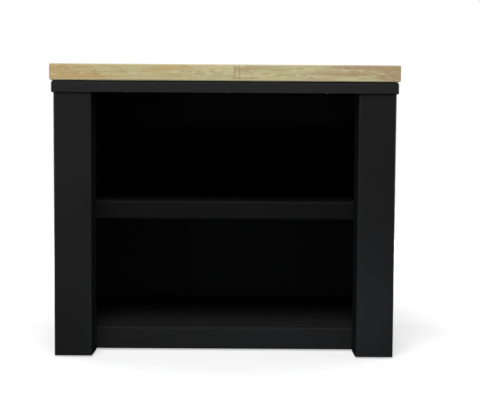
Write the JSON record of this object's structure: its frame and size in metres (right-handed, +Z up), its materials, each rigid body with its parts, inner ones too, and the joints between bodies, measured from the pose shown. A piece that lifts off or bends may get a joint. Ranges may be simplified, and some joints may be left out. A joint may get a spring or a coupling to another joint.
{
  "type": "outdoor serving table",
  "caption": "Free-standing serving table: thick pale wood worktop on a black folded-steel cabinet with wide front posts, open bays above and below a shelf, a closed back and levelling feet.",
  "frame": {"origin": "on the floor, under the middle of the worktop", "axes": "+X to the right of someone facing the open front, -Y out of the open front, +Z up"},
  "size_m": [0.9, 0.5, 0.76],
  "materials": {
    "pale_hardwood": "oiled finger-jointed board, matt",
    "black_powder_coat": "fine satin black powder coat",
    "zinc_plate": "bright zinc plate",
    "black_screw": "black oxide, satin",
    "foot_plastic": "moulded black plastic"
  },
  "bodies": {
    "cabinet": {"worktop": "pale_hardwood", "top_pan": "black_powder_coat", "left_side_panel": "black_powder_coat", "right_side_panel": "black_powder_coat", "back_panel": "black_powder_coat", "middle_shelf": "black_powder_coat", "bottom_shelf": "black_powder_coat", "front_left_foot_bracket": "black_powder_coat", "front_right_foot_bracket": "black_powder_coat", "rear_left_foot_bracket": "black_powder_coat", "rear_right_foot_bracket": "black_powder_coat", "left_weld_studs": "zinc_plate", "right_weld_studs": "zinc_plate", "shelf_nuts": "zinc_plate", "bracket_nuts": "zinc_plate", "pan_weld_studs": "zinc_plate", "pan_nuts": "zinc_plate", "back_panel_weld_nuts": "zinc_plate", "worktop_screws": "zinc_plate", "worktop_washers": "zinc_plate", "foot_weld_nuts": "zinc_plate", "back_panel_screws": "black_screw"},
    "front_left_foot": {"front_left_foot_stud": "zinc_plate", "front_left_foot_pad": "foot_plastic"},
    "front_right_foot": {"front_right_foot_stud": "zinc_plate", "front_right_foot_pad": "foot_plastic"},
    "rear_left_foot": {"rear_left_foot_stud": "zinc_plate", "rear_left_foot_pad": "foot_plastic"},
    "rear_right_foot": {"rear_right_foot_stud": "zinc_plate", "rear_right_foot_pad": "foot_plastic"}
  },
  "joints": [
    {"name": "front_left_foot_level", "type": "slide", "parent": "cabinet", "child": "front_left_foot", "axis": [0, 0, -1], "range_m": [0, 0.015]},
    {"name": "front_right_foot_level", "type": "slide", "parent": "cabinet", "child": "front_right_foot", "axis": [0, 0, -1], "range_m": [0, 0.015]},
    {"name": "rear_left_foot_level", "type": "slide", "parent": "cabinet", "child": "rear_left_foot", "axis": [0, 0, -1], "range_m": [0, 0.015]},
    {"name": "rear_right_foot_level", "type": "slide", "parent": "cabinet", "child": "rear_right_foot", "axis": [0, 0, -1], "range_m": [0, 0.015]}
  ]
}
